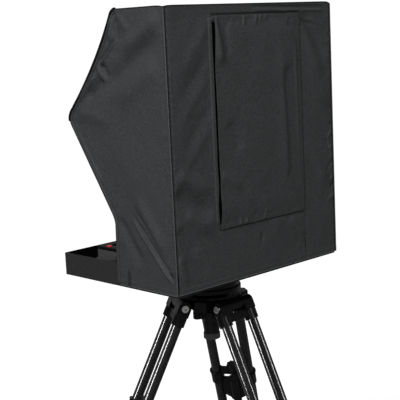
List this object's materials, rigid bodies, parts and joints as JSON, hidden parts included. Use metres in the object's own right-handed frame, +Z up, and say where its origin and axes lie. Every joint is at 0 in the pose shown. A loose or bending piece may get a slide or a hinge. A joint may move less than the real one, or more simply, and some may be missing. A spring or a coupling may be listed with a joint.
{
  "type": "teleprompter",
  "caption": "Camera-mount teleprompter on a twin-tube tripod: tray with a face-up monitor, angled glass and a cloth hood with a rear flap.",
  "frame": {"origin": "on the floor, at the centre of the bounding box", "axes": "+Z up, the reader sits towards -Y, the camera stands towards +Y"},
  "size_m": [0.745, 0.65, 1.4204],
  "materials": {
    "black_casting": "satin black cast",
    "bright_steel": "bright zinc",
    "knob_plastic": "moulded",
    "grey_powder_coat": "fine powder coat",
    "monitor_plastic": "fine grain",
    "screen": "gloss",
    "circuit_board": "solder mask",
    "frame_steel": "satin",
    "black_aluminium": "anodised",
    "coated_glass": "half-mirror coating",
    "red_plastic": "gloss",
    "hood_cloth": "coated nylon weave",
    "gloss_tube": "gloss black",
    "boot_rubber": "matt"
  },
  "bodies": {
    "tripod_crown": {"tripod_crown": "black_casting", "leg_hinge_bolts": "bright_steel"},
    "ball": {"half_ball": "black_casting", "clamp_stud": "bright_steel", "clamp_washer": "black_casting"},
    "ball_clamp": {"ball_clamp_knob": "knob_plastic"},
    "prompter": {"pan_drum": "black_casting", "base_tray": "grey_powder_coat", "mount_plate": "grey_powder_coat", "mount_bolts": "bright_steel", "tray_rivets": "grey_powder_coat", "monitor_case": "monitor_plastic", "monitor_bezel": "monitor_plastic", "lcd_panel": "screen", "driver_board": "circuit_board", "monitor_standoffs": "grey_powder_coat", "signal_sockets": "bright_steel", "power_adapter": "monitor_plastic", "adapter_screws": "bright_steel", "glass_arm_right": "grey_powder_coat", "glass_arm_left": "grey_powder_coat", "rear_baffle": "grey_powder_coat", "hood_frame": "frame_steel", "hood_side_right": "hood_cloth", "hood_side_left": "hood_cloth", "hood_back": "hood_cloth", "hood_top": "hood_cloth", "hood_front": "hood_cloth", "camera_riser": "grey_powder_coat"},
    "glass": {"glass_frame": "black_aluminium", "glass_pane": "coated_glass"},
    "glass_knob_right": {"glass_knob_right": "knob_plastic"},
    "glass_knob_left": {"glass_knob_left": "knob_plastic"},
    "camera_plate": {"camera_plate": "black_aluminium"},
    "camera_screw": {"camera_screw": "bright_steel"},
    "power_button": {"power_button": "red_plastic"},
    "menu_button_up": {"menu_button_up": "monitor_plastic"},
    "menu_button_down": {"menu_button_down": "monitor_plastic"},
    "hood_flap": {"hood_flap": "hood_cloth"},
    "front_right_leg": {"front_right_leg_yoke": "black_casting", "front_right_leg_tubes": "gloss_tube", "front_right_leg_collar": "black_casting"},
    "front_right_leg_extension": {"front_right_leg_slider": "black_casting", "front_right_leg_centre_tube": "gloss_tube", "front_right_leg_foot": "boot_rubber"},
    "front_right_leg_knob": {"front_right_leg_knob": "knob_plastic"},
    "front_left_leg": {"front_left_leg_yoke": "black_casting", "front_left_leg_tubes": "gloss_tube", "front_left_leg_collar": "black_casting"},
    "front_left_leg_extension": {"front_left_leg_slider": "black_casting", "front_left_leg_centre_tube": "gloss_tube", "front_left_leg_foot": "boot_rubber"},
    "front_left_leg_knob": {"front_left_leg_knob": "knob_plastic"},
    "rear_leg": {"rear_leg_yoke": "black_casting", "rear_leg_tubes": "gloss_tube", "rear_leg_collar": "black_casting"},
    "rear_leg_extension": {"rear_leg_slider": "black_casting", "rear_leg_centre_tube": "gloss_tube", "rear_leg_foot": "boot_rubber"},
    "rear_leg_knob": {"rear_leg_knob": "knob_plastic"}
  },
  "joints": [
    {"name": "ball_level", "type": "hinge", "parent": "tripod_crown", "child": "ball", "pos_m": [0, -0.10261, 0.74143], "axis": [1, 0, 0], "range_deg": [-4.5, 4.5]},
    {"name": "pan", "type": "hinge", "parent": "ball", "child": "prompter", "pos_m": [0, -0.10261, 0.74143], "axis": [0, 0, 1], "continuous": true},
    {"name": "ball_clamp_turn", "type": "hinge", "parent": "ball", "child": "ball_clamp", "pos_m": [0, -0.10261, 0.74143], "axis": [0, 0, 1], "range_deg": [0, 270]},
    {"name": "glass_tilt", "type": "hinge", "parent": "prompter", "child": "glass", "pos_m": [0, -0.15761, 1.08643], "axis": [1, 0, 0], "range_deg": [-8, 8]},
    {"name": "glass_knob_right_turn", "type": "hinge", "parent": "glass", "child": "glass_knob_right", "pos_m": [0.21, -0.15761, 1.08643], "axis": [1, 0, 0], "range_deg": [0, 180]},
    {"name": "glass_knob_left_turn", "type": "hinge", "parent": "glass", "child": "glass_knob_left", "pos_m": [-0.21, -0.15761, 1.08643], "axis": [-1, 0, 0], "range_deg": [0, 180]},
    {"name": "camera_plate_slide", "type": "slide", "parent": "prompter", "child": "camera_plate", "axis": [0, -1, 0], "range_m": [-0.012, 0.014]},
    {"name": "camera_screw_turn", "type": "hinge", "parent": "camera_plate", "child": "camera_screw", "pos_m": [0, 0.01839, 0.99143], "axis": [0, 0, 1], "range_deg": [0, 360]},
    {"name": "power_button_press", "type": "slide", "parent": "prompter", "child": "power_button", "axis": [0, 0, -1], "range_m": [0, 0.0015], "stiffness_N_per_m": 900},
    {"name": "menu_button_up_press", "type": "slide", "parent": "prompter", "child": "menu_button_up", "axis": [0, 0, -1], "range_m": [0, 0.0015], "stiffness_N_per_m": 600},
    {"name": "menu_button_down_press", "type": "slide", "parent": "prompter", "child": "menu_button_down", "axis": [0, 0, -1], "range_m": [0, 0.0015], "stiffness_N_per_m": 600},
    {"name": "flap_open", "type": "hinge", "parent": "prompter", "child": "hood_flap", "pos_m": [-0.155, 0.07599, 1.16443], "axis": [0, 0, 1], "range_deg": [0, 170]},
    {"name": "front_right_leg_fold", "type": "hinge", "parent": "tripod_crown", "child": "front_right_leg", "pos_m": [0.06668, -0.14111, 0.71743], "axis": [0.5, 0.866, 0], "range_deg": [0, 24]},
    {"name": "front_right_leg_extend", "type": "slide", "parent": "front_right_leg", "child": "front_right_leg_extension", "axis": [0.3626, -0.2093, -0.9081], "range_m": [-0.185, 0.12]},
    {"name": "front_right_leg_knob_turn", "type": "hinge", "parent": "front_right_leg_extension", "child": "front_right_leg_knob", "pos_m": [0.16349, -0.197, 0.47496], "axis": [-0.3626, 0.2093, 0.9081], "range_deg": [0, 270]},
    {"name": "front_left_leg_fold", "type": "hinge", "parent": "tripod_crown", "child": "front_left_leg", "pos_m": [-0.06668, -0.14111, 0.71743], "axis": [0.5, -0.866, 0], "range_deg": [0, 24]},
    {"name": "front_left_leg_extend", "type": "slide", "parent": "front_left_leg", "child": "front_left_leg_extension", "axis": [-0.3626, -0.2093, -0.9081], "range_m": [-0.185, 0.12]},
    {"name": "front_left_leg_knob_turn", "type": "hinge", "parent": "front_left_leg_extension", "child": "front_left_leg_knob", "pos_m": [-0.16349, -0.197, 0.47496], "axis": [0.3626, 0.2093, 0.9081], "range_deg": [0, 270]},
    {"name": "rear_leg_fold", "type": "hinge", "parent": "tripod_crown", "child": "rear_leg", "pos_m": [0, -0.02561, 0.71743], "axis": [-1, 0, 0], "range_deg": [0, 24]},
    {"name": "rear_leg_extend", "type": "slide", "parent": "rear_leg", "child": "rear_leg_extension", "axis": [0, 0.4187, -0.9081], "range_m": [-0.185, 0.12]},
    {"name": "rear_leg_knob_turn", "type": "hinge", "parent": "rear_leg_extension", "child": "rear_leg_knob", "pos_m": [0, 0.08617, 0.47496], "axis": [0, -0.4187, 0.9081], "range_deg": [0, 270]}
  ]
}
